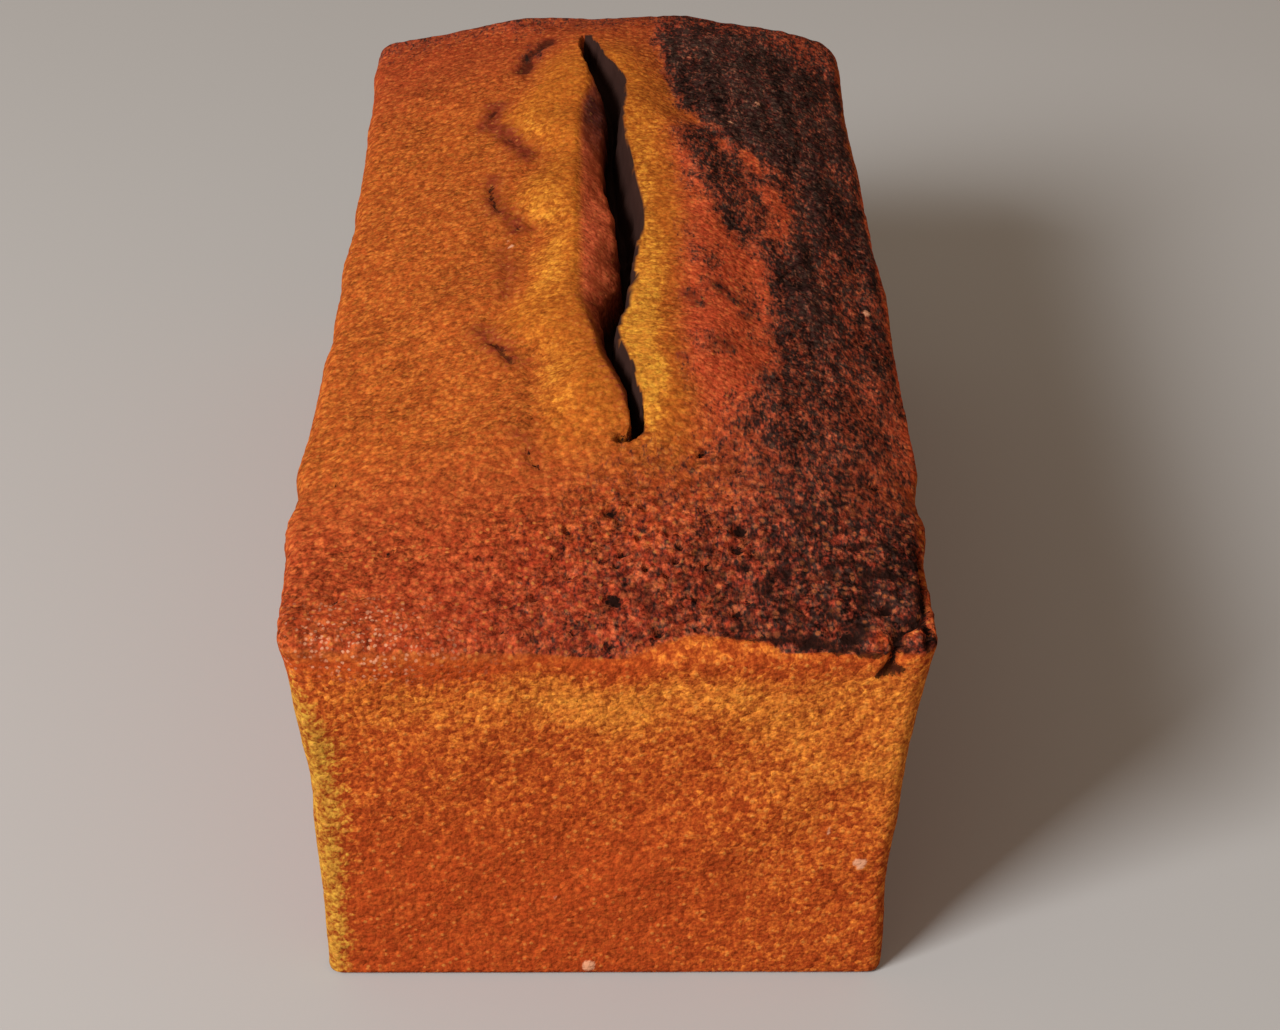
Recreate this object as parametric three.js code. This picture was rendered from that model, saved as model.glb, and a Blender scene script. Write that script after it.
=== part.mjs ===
// A pound cake baked in a loaf tin: a tapered body with rounded corners, a domed crust, and one long split
// that opened along the crown while the middle went on rising. Millimetres, +Z up. The origin is the middle
// of the base, and +Y runs along the loaf from its low end to its high end.
import * as THREE from "three";
import { mergeGeometries, mergeVertices } from "three/addons/utils/BufferGeometryUtils.js";

const { clamp, lerp, mapLinear, smoothstep } = THREE.MathUtils;

// Body, as the tin shaped it
const RIM_LENGTH = 177.5;
const RIM_WIDTH = 83;
const BASE_LENGTH = 172;
const BASE_WIDTH = 75;
const RIM_HEIGHT_LOW_END = 57.5;
const RIM_HEIGHT_HIGH_END = 61;
const WALL_FLARE = 2.5; // above 1 the walls stand upright below and lean out above
const RIM_CORNER_RADIUS = 3; // upright edges, at the rim and at the base
const BASE_CORNER_RADIUS = 2;
const SHOULDER_RADIUS = 2.4; // between wall and crust
const FOOT_RADIUS = 0.9; // between wall and base
const WALL_WAVE = 0.3; // how far the walls wander from flat
// How far each side's rim is pushed out, as [y, distance] turning points
const LEFT_BOW = [[-88, -0.9], [-55, 0.5], [-25, -0.9], [50, -1.6], [88, -0.6]];
const RIGHT_BOW = [[-88, 0.2], [-30, 1.4], [20, 1], [60, 0.1], [88, 0.4]];

// Crust, as it rose above the rim
const CROWN_RISE = 9;
const CROWN_FULLNESS = 2.1; // 2 is a parabola across the loaf
const CROWN_LEAN = 0.08; // shift of the crest towards +X, as a share of the half width
const LOW_END_SLOPE = 50; // length over which the crust climbs from that end
const LOW_END_SHARE = -0.2; // share of the rise at that end's edge, where the crust dips
const HIGH_END_SLOPE = 34;
const HIGH_END_SHARE = 0.7;
const CRUST_WAVE = 0.5;

// Lengths of the slow waves in a baked surface, and where they start
const LONG_WAVE = 57;
const CROSS_WAVE = 37;
const SLANT_WAVE = 27;
const SLANT_CROSS_WAVE = 20;
const LONG_WAVE_START = 0.6;
const SLANT_WAVE_START = 1.3;

// Split along the crown: its lines as [y, x] turning points
const SLIT_LEFT = [
  [-50, 3.4], [-24, -0.9], [-11, 2.2], [1, 2.2], [19, 0.2], [45, 0.2], [66, -4], [75, -4.4],
];
const SLIT_RIGHT = [
  [-47, 4.2], [-32, 1.6], [-24, 3], [-17, 3.7], [-11, 3.8], [1, 5.1], [36, 2.4], [50, 2.8], [66, -1.2], [75, -2.6],
];
const LEFT_LIP = [[-50, 2.7], [-34, -1.3], [-18, -4.6], [42, -4.8], [54, -3.1], [63, -4.2], [75, -5]];
const TORN_EDGE_LEFT = [
  [-66, -7], [-56, -10.5], [-37, -11.7], [-25, -18.3], [-10, -13.8], [3, -12], [13, -17.8], [27, -12.4],
  [40, -19.4], [58, -14.2], [80, -8.5],
];
const TORN_EDGE_RIGHT = [[-66, 12], [-48, 17.7], [-33, 24], [0, 23], [13, 26], [33, 20], [46, 13], [80, 9]];
const TEAR_SPAN = [-66, 80]; // y where the torn crust starts and ends
const CRACK_SPAN = [-55, 66]; // the same for the sloping walls of the crack
const SLIT_SPAN = [-54, 74]; // and for the slit
const OPENING_LENGTH = 22; // length over which crack and tear grow from either end
const SLIT_OPENING_LENGTH = 2;
const WALL_CURVE = 1.25; // above 1 the lips of the crack round over
const CRACK_DEPTH = 5;
const SLIT_DEPTH = 5; // gap below the open part of the crack
const SLIT_STEEPNESS = 8; // the higher, the more upright the slit's sides
const NARROWEST_SLIT = 0.8;
const SWELL = 1.7; // crumb risen between the torn edges, above the older crust
const SWELL_BLEND = 10;
const CURL_LEFT = 0.4; // crust lifted along each torn edge
const CURL_RIGHT = 0.2;
const CURL_REACH = 7;
const CURL_LIP = 1.5; // distance over which the lifted crust drops to the crumb

// Facets
const FACETS_ACROSS = 36;
const FACETS_ALONG = 70;
const FACETS_UP = 12;
const TORN_EDGE_COLUMN = 0.5; // share of the columns that lie between the crack and the torn edges
const SLIT_RIM_COLUMN = 2 / 9; // share of those at which the slit's rim lies
const SLIT_RIM = 1.2; // place of the rim and of the bottom's edge, in half widths of the slit
const SLIT_BOTTOM = 0.8;
const COLUMN_CROWDING = 1.2; // above 1 the columns crowd towards the crack
const PLAIN_COLUMNS = 13; // length at either end over which the columns turn straight
const MERGE_WITHIN = 1e-3;
const UNDERSIDE_GROUP = 5; // face of the subdivided box that looks down

const HALF_WIDTH = RIM_WIDTH / 2;
const HALF_LENGTH = RIM_LENGTH / 2;

// Rises smoothly from 0 to 1 as the share goes from 0 to 1.
const ease = (share) => smoothstep(share, 0, 1);

// Rises steeply from 0 and levels off at 1, as a quarter of a sine wave does.
const levelOff = (share) => Math.sin((Math.PI / 2) * clamp(share, 0, 1));

// Value at y of a line that eases from each turning point to the next and stays level beyond its ends.
function valueAt(points, y) {
  const next = points.findIndex((point) => point[0] > y);
  if (next === 0) return points[0][1];
  if (next === -1) return points.at(-1)[1];
  const [y0, value0] = points[next - 1];
  const [y1, value1] = points[next];
  return lerp(value0, value1, ease((y - y0) / (y1 - y0)));
}

// Slow unevenness of a baked surface, from -1 to 1: the mean of a chequered and a slanting wave.
function wander(p, q) {
  const turn = 2 * Math.PI;
  const chequered = Math.sin((turn * p) / LONG_WAVE + LONG_WAVE_START) * Math.cos((turn * q) / CROSS_WAVE);
  const slanting = Math.sin(turn * (p / SLANT_WAVE - q / SLANT_CROSS_WAVE) + SLANT_WAVE_START);
  return (chequered + slanting) / 2;
}

// Domed crust before it split: rim height plus a crown that fades towards the walls and both ends.
function domeHeight(x, y) {
  const rim = mapLinear(y, -HALF_LENGTH, HALF_LENGTH, RIM_HEIGHT_LOW_END, RIM_HEIGHT_HIGH_END);
  const t = x / HALF_WIDTH;
  const leaned = Math.abs(t - CROWN_LEAN * (1 - t * t));
  const across = 1 - Math.min(1, leaned) ** CROWN_FULLNESS;
  const fromLowEnd = lerp(LOW_END_SHARE, 1, levelOff((y + HALF_LENGTH) / LOW_END_SLOPE));
  const fromHighEnd = lerp(HIGH_END_SHARE, 1, levelOff((HALF_LENGTH - y) / HIGH_END_SLOPE));
  return rim + CROWN_RISE * across * fromLowEnd * fromHighEnd + CRUST_WAVE * wander(x, y) * (1 - t * t);
}

// How much of a feature is there at y: 0 outside its span, easing to 1 over its opening length.
function along([start, end], y, opening) {
  return ease((y - start) / opening) * ease((end - y) / opening);
}

// Relief of the tear: crust curled up along its torn edge, and crumb that swells beyond it.
function tearRelief(x, y) {
  const insideLeft = x - valueAt(TORN_EDGE_LEFT, y);
  const insideRight = valueAt(TORN_EDGE_RIGHT, y) - x;
  const inside = Math.min(insideLeft, insideRight);
  const lift = insideLeft < insideRight ? CURL_LEFT : CURL_RIGHT;
  const curl = lift * Math.exp(Math.min(0, inside) / CURL_REACH) * (1 - ease(inside / CURL_LIP));
  return along(TEAR_SPAN, y, OPENING_LENGTH) * (SWELL * ease(inside / SWELL_BLEND) + curl);
}

// Middle line of the slit, and half its width.
function slitAt(y) {
  const left = valueAt(SLIT_LEFT, y);
  const right = valueAt(SLIT_RIGHT, y);
  return { middle: (left + right) / 2, half: Math.max(right - left, NARROWEST_SLIT) / 2 };
}

// Depth of the crack: a sloping left wall and a steep right one, and a steep-sided slit where they meet.
function crackDepth(x, y) {
  const { middle, half } = slitAt(y);
  const side = x - middle;
  const width = side < 0 ? middle - valueAt(LEFT_LIP, y) : half;
  const walls = clamp(1 - Math.abs(side) / width, 0, 1) ** WALL_CURVE;
  const slit = Math.exp(-((side / half) ** SLIT_STEEPNESS));
  const sloping = along(CRACK_SPAN, y, OPENING_LENGTH) * CRACK_DEPTH * walls;
  return sloping + along(SLIT_SPAN, y, SLIT_OPENING_LENGTH) * SLIT_DEPTH * slit;
}

// Moves a point of a square-cornered outline onto the same outline with round corners.
function roundCorner(point, halfWidth, halfLength, radius) {
  const dx = Math.abs(point.x) - (halfWidth - radius);
  const dy = Math.abs(point.y) - (halfLength - radius);
  if (dx <= 0 || dy <= 0) return point;
  const shrink = Math.max(dx, dy) / Math.hypot(dx, dy);
  point.x = Math.sign(point.x) * (halfWidth - radius + dx * shrink);
  point.y = Math.sign(point.y) * (halfLength - radius + dy * shrink);
  return point;
}

// Rolls the sharp edge between crust and wall over: how far in and how far down a point then lies.
function rollShoulder(inset, drop) {
  const across = Math.max(0, SHOULDER_RADIUS - inset);
  const up = Math.max(0, SHOULDER_RADIUS - drop);
  if (across === 0 || up === 0) return { inset, drop };
  const reach = SHOULDER_RADIUS / Math.hypot(across, up);
  return { inset: SHOULDER_RADIUS - across * reach, drop: SHOULDER_RADIUS - up * reach };
}

// Distance from the middle to the rim on one side of the loaf, which bows out a little along its length.
function sideReach(a, y) {
  return HALF_WIDTH + valueAt(a < 0 ? LEFT_BOW : RIGHT_BOW, y);
}

// Wall point: a and b give its place round the outline, from -1 to 1, and rise its share of the height.
function wallPoint(a, b, rise) {
  const flare = rise ** WALL_FLARE;
  const rimHeight = domeHeight(a * HALF_WIDTH, b * HALF_LENGTH);
  const rolled = rollShoulder(0, (1 - rise) * rimHeight);
  const height = rimHeight - rolled.drop;
  const underFoot = Math.max(0, 1 - height / FOOT_RADIUS);
  const footInset = FOOT_RADIUS * (1 - Math.sqrt(1 - underFoot ** 2));
  const wave = WALL_WAVE * Math.sin(Math.PI * rise) * wander(HALF_LENGTH * b + HALF_WIDTH * a, height);
  const inset = rolled.inset + footInset - wave;
  const halfWidth = lerp(BASE_WIDTH / 2, sideReach(a, b * HALF_LENGTH), flare) - inset;
  const halfLength = lerp(BASE_LENGTH, RIM_LENGTH, flare) / 2 - inset;
  const radius = lerp(BASE_CORNER_RADIUS, RIM_CORNER_RADIUS, flare) - inset;
  const point = new THREE.Vector3(a * halfWidth, b * halfLength, height);
  return roundCorner(point, halfWidth, halfLength, radius);
}

// Place of a column between the middle of the slit, at share 0, and a torn edge, at share 1.
function crackColumnX(share, tornEdge, y) {
  const { middle, half } = slitAt(y);
  const rim = middle + Math.sign(tornEdge) * SLIT_RIM * half;
  const bend = Math.log2(SLIT_RIM / SLIT_BOTTOM); // the column half way to the rim is the bottom's edge
  if (share < SLIT_RIM_COLUMN) return lerp(middle, rim, (share / SLIT_RIM_COLUMN) ** bend);
  return lerp(rim, tornEdge, mapLinear(share, SLIT_RIM_COLUMN, 1, 0, 1) ** COLUMN_CROWDING);
}

// Place across the loaf of column a, from -1 to 1: columns run along slit, torn edges and rims.
function columnX(a, y) {
  const reach = Math.sign(a) * sideReach(a, y);
  const tornEdge = valueAt(a < 0 ? TORN_EDGE_LEFT : TORN_EDGE_RIGHT, y);
  const share = Math.abs(a) / TORN_EDGE_COLUMN;
  const fromCrack = crackColumnX(Math.min(1, share), tornEdge, y);
  const drawn = lerp(fromCrack, reach, Math.max(0, share - 1) / (1 / TORN_EDGE_COLUMN - 1));
  return lerp(Math.abs(a) * reach, drawn, ease((HALF_LENGTH - Math.abs(y)) / PLAIN_COLUMNS));
}

// Crust point of column a and row b: the dome with its relief, rolled over at the rim.
function crustPoint(a, b) {
  const y = b * HALF_LENGTH;
  const x = columnX(a, y);
  const reach = sideReach(a, y);
  const inset = Math.min(reach - Math.abs(x), HALF_LENGTH - Math.abs(y));
  const rolled = rollShoulder(inset, 0);
  const height = domeHeight(x, y) + tearRelief(x, y) - crackDepth(x, y) - rolled.drop;
  const inX = (reach - rolled.inset) / (reach - inset);
  const inY = (HALF_LENGTH - rolled.inset) / (HALF_LENGTH - inset);
  const point = new THREE.Vector3(x * inX, y * inY, height);
  return roundCorner(point, reach, HALF_LENGTH, RIM_CORNER_RADIUS);
}

// Walls and crust: a subdivided box without its underside, each vertex sent to its place on the loaf.
function loafSkin() {
  const skin = new THREE.BoxGeometry(2, 2, 2, FACETS_ACROSS, FACETS_ALONG, FACETS_UP);
  const { start, count } = skin.groups[UNDERSIDE_GROUP];
  skin.setIndex([...skin.index.array].filter((_, i) => i < start || i >= start + count));
  skin.clearGroups();
  const position = skin.getAttribute("position");
  for (let i = 0; i < position.count; i++) {
    const a = position.getX(i);
    const b = position.getY(i);
    const c = position.getZ(i);
    const rise = (1 + Math.sin((Math.PI / 2) * c)) / 2; // rows crowd towards foot and rim
    const point = c === 1 ? crustPoint(a, b) : wallPoint(a, b, rise);
    position.setXYZ(i, point.x, point.y, point.z);
  }
  return skin;
}

// Flat base: the outline of the lowest row of the walls, filled in and turned to face down.
function loafBase() {
  const halfLoop = [];
  for (let i = 0; i < FACETS_ACROSS; i++) halfLoop.push([(2 * i) / FACETS_ACROSS - 1, -1]);
  for (let i = 0; i < FACETS_ALONG; i++) halfLoop.push([1, (2 * i) / FACETS_ALONG - 1]);
  const loop = [...halfLoop, ...halfLoop.map(([a, b]) => [-a, -b])];
  const base = new THREE.ShapeGeometry(new THREE.Shape(loop.map(([a, b]) => wallPoint(a, b, 0))));
  base.setIndex([...base.index.array].reverse());
  return base;
}

// One closed solid, centred on its own box.
function loafGeometry() {
  const pieces = [loafSkin(), loafBase()];
  for (const piece of pieces) {
    piece.deleteAttribute("normal");
    piece.deleteAttribute("uv");
  }
  const loaf = mergeVertices(mergeGeometries(pieces), MERGE_WITHIN);
  loaf.computeBoundingBox();
  const middle = loaf.boundingBox.getCenter(new THREE.Vector3());
  loaf.translate(-middle.x, -middle.y, -loaf.boundingBox.min.z);
  loaf.computeVertexNormals();
  return loaf;
}

const bakedCrust = new THREE.MeshStandardMaterial({ color: 0xb0622c, roughness: 0.85, metalness: 0 });
const loaf = new THREE.Mesh(loafGeometry(), bakedCrust);
loaf.name = "loaf";

const poundCake = new THREE.Group();
poundCake.add(loaf);

export default poundCake;
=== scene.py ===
import bpy
import numpy as np
from mathutils import Matrix, Vector


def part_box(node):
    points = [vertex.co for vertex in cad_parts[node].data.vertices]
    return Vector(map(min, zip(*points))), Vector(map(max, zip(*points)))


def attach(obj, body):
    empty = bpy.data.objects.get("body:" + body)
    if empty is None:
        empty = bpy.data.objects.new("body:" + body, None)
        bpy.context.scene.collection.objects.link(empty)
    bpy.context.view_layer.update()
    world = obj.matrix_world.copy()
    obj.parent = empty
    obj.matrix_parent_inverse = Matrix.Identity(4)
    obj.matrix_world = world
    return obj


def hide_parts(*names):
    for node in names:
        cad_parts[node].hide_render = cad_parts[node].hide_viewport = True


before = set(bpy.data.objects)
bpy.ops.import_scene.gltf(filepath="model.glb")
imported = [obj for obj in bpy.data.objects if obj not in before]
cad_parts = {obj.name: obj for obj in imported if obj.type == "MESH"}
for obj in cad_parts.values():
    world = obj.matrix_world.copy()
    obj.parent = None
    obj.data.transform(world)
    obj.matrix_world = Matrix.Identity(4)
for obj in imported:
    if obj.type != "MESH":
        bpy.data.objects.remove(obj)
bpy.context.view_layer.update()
mm = 0.001               # every length below is in millimetres, the scene is in metres
print("frame loaded:", sorted(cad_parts))

# The loaf's form. Lists hold (y, value) turning points, y along the loaf.
form = dict(
    rimLength=177.5, rimWidth=83, baseLength=172, baseWidth=75,
    rimHeights=(57.5, 61),  # at the low end and at the high end
    wallFlare=2.5,  # above 1 the walls stand upright below and lean out above
    cornerRadii=(2, 3),  # upright edges, at the base and at the rim
    shoulderRadius=2.4, footRadius=0.9, wallWave=0.3,
    leftBow=[(-88, -0.9), (-55, 0.5), (-25, -0.9), (50, -1.6), (88, -0.6)],
    rightBow=[(-88, 0.2), (-30, 1.4), (20, 1), (60, 0.1), (88, 0.4)],
    crownRise=9, crownFullness=2.1, crownLean=0.08, crustWave=0.5,
    lowEnd=(50, -0.2),  # length of the climb, share of the rise at that edge
    highEnd=(34, 0.7),
    waves=(57, 37, 27, 20),  # lengths of the slow waves in a baked surface
    waveStarts=(0.6, 1.3),
    cells=(140, 280, 70),  # quads across, along and up
    tornColumn=0.5, columnCrowding=1.4, plainColumns=13,
    nearCrowding=0.15, rowCrowding=0.5,
)
halfWidth, halfLength = form["rimWidth"] / 2, form["rimLength"] / 2

# The tear along the crown: crack, slit and torn edges. Rags are (height, size, seed).
tear = dict(
    slitLeft=[(-50, 3.4), (-24, -0.9), (-11, 2.2), (1, 2.2), (19, 0.2), (45, 0.2), (66, -4), (75, -4.4)],
    slitRight=[(-47, 4.2), (-32, 1.6), (-24, 3), (-17, 3.7), (-11, 3.8), (1, 5.1), (36, 2.4),
                  (50, 2.8), (66, -1.2), (75, -2.6)],
    leftRags=[(0.4, 5, 11), (0.24, 1.9, 13)], rightRags=[(0.4, 4, 23), (0.18, 1.7, 14)],
    leftLip=[(-50, 2.7), (-34, -1.3), (-18, -4.6), (42, -4.8), (54, -3.1), (63, -4.2), (75, -5)],
    leftEdge=[(-66, -7), (-56, -10.5), (-37, -11.7), (-25, -18.3), (-10, -13.8), (3, -12), (13, -17.8),
                 (27, -12.4), (40, -19.4), (58, -14.2), (80, -8.5)],
    rightEdge=[(-66, 12), (-48, 17.7), (-33, 24), (0, 23), (13, 26), (33, 20), (46, 13), (80, 9)],
    span=(-66, 80), crackSpan=(-55, 66), opening=22,
    wallCurve=1.25, depth=5, narrowest=0.4,
    slitSpan=(-54, 74), slitOpening=2, slitDepth=5, slitSteepness=8,
    swell=1.7, swellBlend=10,
    curl=(0.4, 0.2), curlReach=7, curlLip=1.5,  # left and right
)


# Rises smoothly from 0 to 1: three squares less two cubes of the share.
def ease(share):
    share = np.clip(share, 0, 1)
    return share * share * (3 - 2 * share)


# Eases from 0 at the start to 1 a length further on.
def ramp(value, start, length):
    return ease((value - start) / length)


# Eases from 0 to 1 across an edge, a half on the edge itself.
def across(inside, blend):
    return ease(inside / blend + 0.5)


# Rises steeply from 0 and levels off at 1: a quarter of a sine wave.
def levelOff(share):
    return np.sin(np.pi / 2 * np.clip(share, 0, 1))


# Bell curve: 1 at the middle, falling with the square of the distance.
def bell(value, middle, reach):
    return np.exp(-((value - middle) / reach) ** 2)


# Flat-topped bell, falling with the fourth power of the distance.
def plateau(distance, radius):
    return np.exp(-(distance / radius) ** 4)


def mix(low, high, share):
    return low + (high - low) * share


# Value at y of a line that eases from each turning point to the next, level beyond its ends.
def valueAt(points, y):
    ys, values = np.array(points, float).T
    after = np.clip(np.searchsorted(ys, y, side="right"), 1, len(ys) - 1)
    share = ease((y - ys[after - 1]) / (ys[after] - ys[after - 1]))
    return mix(values[after - 1], values[after], share)


# Whole-number cells stirred into even random numbers from 0 to 1, the same on every run.
def cellRandom(cells, seed):
    stirrers = np.array([73856093, 19349663, 83492791], np.uint64)
    mixed = cells.astype(np.uint64) * stirrers
    mixed = mixed[:, 0] ^ mixed[:, 1] ^ mixed[:, 2] ^ np.uint64(seed * 49979687)
    for shift in (29, 32):
        mixed = (mixed ^ (mixed >> np.uint64(shift))) * np.uint64(0x9E3779B97F4A7C15)
    return (mixed >> np.uint64(11)) / 2.0 ** 53


# Value noise from -1 to 1: random heights at the corners of a lattice of that size, eased between them.
def noise(points, size, seed):
    place = points / size
    corner = np.floor(place).astype(np.int64)
    share = ease(place - corner)
    total = np.zeros(len(points))
    for step in np.ndindex(2, 2, 2):
        weight = np.where(np.array(step) == 1, share, 1 - share).prod(axis=1)
        total += weight * cellRandom(corner + step, seed)
    return 2 * total - 1


# Noise at one size plus copies of half the size and half the height.
def roughness(points, size, seed, layers=3):
    steps = range(layers)
    return sum(noise(points, size / 2 ** n, seed + n) / 2 ** n for n in steps) / sum(0.5 ** n for n in steps)


# Noise along the loaf only.
def lineNoise(y, size, seed):
    return noise(np.stack([np.zeros_like(y), y, np.zeros_like(y)], axis=1), size, seed)


# One random spot in each lattice cell: distance to the nearest, and its own number from 0 to 1.
def scatter(points, size, seed):
    place = points / size
    corner = np.floor(place).astype(np.int64)
    nearest = np.full(len(points), 9.0)
    own = np.zeros(len(points))
    for step in np.ndindex(3, 3, 3):
        cell = corner + np.array(step) - 1
        spot = cell + np.stack([cellRandom(cell, seed + n) for n in range(3)], axis=1)
        distance = np.linalg.norm(place - spot, axis=1)
        closer = distance < nearest
        nearest = np.where(closer, distance, nearest)
        own = np.where(closer, cellRandom(cell, seed + 3), own)
    return nearest * size, own


# Distance from each point to a chain of straight pieces.
def lineDistance(points, line):
    line = np.array(line, float)
    nearest = np.full(len(points), np.inf)
    for start, end in zip(line[:-1], line[1:]):
        run = end - start
        share = np.clip((points - start) @ run / (run @ run), 0, 1)
        nearest = np.minimum(nearest, np.linalg.norm(points - start - share[:, None] * run, axis=1))
    return nearest


# Slow unevenness from -1 to 1: the mean of a chequered and a slanting wave.
def wander(p, q):
    longWave, crossWave, slantWave, slantCross = form["waves"]
    turn = 2 * np.pi
    chequered = np.sin(turn * p / longWave + form["waveStarts"][0]) * np.cos(turn * q / crossWave)
    slanting = np.sin(turn * (p / slantWave - q / slantCross) + form["waveStarts"][1])
    return (chequered + slanting) / 2


# Crust before it split: rim height plus a crown that fades towards the walls and both ends.
def domeHeight(x, y):
    rim = mix(*form["rimHeights"], (y + halfLength) / form["rimLength"])
    t = x / halfWidth
    sideways = 1 - np.minimum(1, np.abs(t - form["crownLean"] * (1 - t * t))) ** form["crownFullness"]
    lowSlope, lowShare = form["lowEnd"]
    highSlope, highShare = form["highEnd"]
    fromLow = mix(lowShare, 1, levelOff((y + halfLength) / lowSlope))
    fromHigh = mix(highShare, 1, levelOff((halfLength - y) / highSlope))
    crown = form["crownRise"] * sideways * fromLow * fromHigh
    return rim + crown + form["crustWave"] * wander(x, y) * (1 - t * t)


# How much of a feature is there along the loaf: 0 outside its span, easing to 1 over the opening length.
def along(span, y, opening):
    return ease((y - span[0]) / opening) * ease((span[1] - y) / opening)


# Crust curled up along its torn edge, and crumb that swells beyond it.
def tearRelief(x, y):
    insideLeft = x - valueAt(tear["leftEdge"], y)
    insideRight = valueAt(tear["rightEdge"], y) - x
    inside = np.minimum(insideLeft, insideRight)
    lift = np.where(insideLeft < insideRight, *tear["curl"])
    curl = lift * np.exp(np.minimum(0, inside) / tear["curlReach"]) * (1 - ease(inside / tear["curlLip"]))
    swell = tear["swell"] * ease(inside / tear["swellBlend"])
    return along(tear["span"], y, tear["opening"]) * (swell + curl)


# A line through turning points, with noise of a few sizes added.
def raggedLine(points, rags, y):
    return valueAt(points, y) + sum(height * lineNoise(y, size, seed) for height, size, seed in rags)


# The slit between two ragged lines: its middle, half its width, and how far left of that middle the lip is.
def slitLines(y):
    left = raggedLine(tear["slitLeft"], tear["leftRags"], y)
    right = raggedLine(tear["slitRight"], tear["rightRags"], y)
    middle = (left + right) / 2
    return middle, np.maximum((right - left) / 2, tear["narrowest"]), middle - valueAt(tear["leftLip"], y)


# Slit at the bottom of the crack, 1 inside and 0 outside: a steep bell of the distance from its middle.
def slitShare(side, half, y, spare=0.0):
    start, end = tear["slitSpan"]
    there = along((start - spare, end + spare), y, tear["slitOpening"])
    return there * np.exp(-(side / half) ** tear["slitSteepness"])


# Crack depth: a sloping left wall and a steep right one, and a steep-sided slit where they meet.
def crackDepth(x, y):
    middle, half, leftWidth = slitLines(y)
    side = x - middle
    walls = np.clip(1 - np.abs(side) / np.where(side < 0, leftWidth, half), 0, 1) ** tear["wallCurve"]
    sloping = along(tear["crackSpan"], y, tear["opening"]) * tear["depth"] * walls
    return sloping + tear["slitDepth"] * slitShare(side, half, y)


# Sharp edge between crust and wall rolled over a quarter circle: how far in and how far down a point lies.
def rollShoulder(inset, drop):
    radius = form["shoulderRadius"]
    inwards = np.maximum(0, radius - inset)
    up = np.maximum(0, radius - drop)
    onRoll = (inwards > 0) & (up > 0)
    reach = radius / np.where(onRoll, np.hypot(inwards, up), radius)
    return np.where(onRoll, radius - inwards * reach, inset), np.where(onRoll, radius - up * reach, drop)


# Square-cornered outline moved onto the same outline with round corners.
def roundCorners(x, y, outX, outY, radius):
    dx = np.abs(x) - (outX - radius)
    dy = np.abs(y) - (outY - radius)
    inCorner = (dx > 0) & (dy > 0)
    shrink = np.where(inCorner, np.maximum(dx, dy) / np.hypot(np.where(inCorner, dx, 1), dy), 1)
    roundX = np.sign(x) * (outX - radius + dx * shrink)
    roundY = np.sign(y) * (outY - radius + dy * shrink)
    return np.where(inCorner, roundX, x), np.where(inCorner, roundY, y)


# Half the rim's width on the side that a lies on, with that side's bow.
def sideReach(a, y):
    return halfWidth + np.where(a < 0, valueAt(form["leftBow"], y), valueAt(form["rightBow"], y))


# Walls: an outline that flares from base to rim, tucked in at the foot and rolled over at the shoulder.
def wallPoints(a, b, rise):
    flare = rise ** form["wallFlare"]
    rimHeight = domeHeight(a * halfWidth, b * halfLength)
    rollIn, rollDown = rollShoulder(np.zeros_like(rise), (1 - rise) * rimHeight)
    height = rimHeight - rollDown
    underFoot = np.clip(1 - height / form["footRadius"], 0, 1)
    footIn = form["footRadius"] * (1 - np.sqrt(1 - underFoot ** 2))
    wave = form["wallWave"] * np.sin(np.pi * rise) * wander(halfLength * b + halfWidth * a, height)
    inset = rollIn + footIn - wave
    outX = mix(form["baseWidth"] / 2, sideReach(a, b * halfLength), flare) - inset
    outY = mix(form["baseLength"], form["rimLength"], flare) / 2 - inset
    x, y = roundCorners(a * outX, b * outY, outX, outY, mix(*form["cornerRadii"], flare) - inset)
    return np.stack([x, y, height], axis=1)


# Place across the loaf of each column: columns run along the crack, the torn edges and the rims.
def columnX(a, y):
    reach = np.sign(a) * sideReach(a, y)
    tornEdge = np.where(a < 0, valueAt(tear["leftEdge"], y), valueAt(tear["rightEdge"], y))
    share = np.abs(a) / form["tornColumn"]
    crackLine = (valueAt(tear["slitLeft"], y) + valueAt(tear["slitRight"], y)) / 2
    fromCrack = mix(crackLine, tornEdge, np.minimum(1, share) ** form["columnCrowding"])
    drawn = mix(fromCrack, reach, np.maximum(0, share - 1) / (1 / form["tornColumn"] - 1))
    return mix(np.abs(a) * reach, drawn, ease((halfLength - np.abs(y)) / form["plainColumns"]))


# Crust: the dome with its tear and crack, rolled over at the rim.
def crustPoints(a, b):
    y = b * halfLength
    x = columnX(a, y)
    reach = sideReach(a, y)
    inset = np.minimum(reach - np.abs(x), halfLength - np.abs(y))
    rollIn, rollDown = rollShoulder(inset, np.zeros_like(inset))
    height = domeHeight(x, y) + tearRelief(x, y) - crackDepth(x, y) - rollDown
    x = x * (reach - rollIn) / (reach - inset)
    y = y * (halfLength - rollIn) / (halfLength - inset)
    x, y = roundCorners(x, y, reach, halfLength, form["cornerRadii"][1])
    return np.stack([x, y, height], axis=1)


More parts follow.
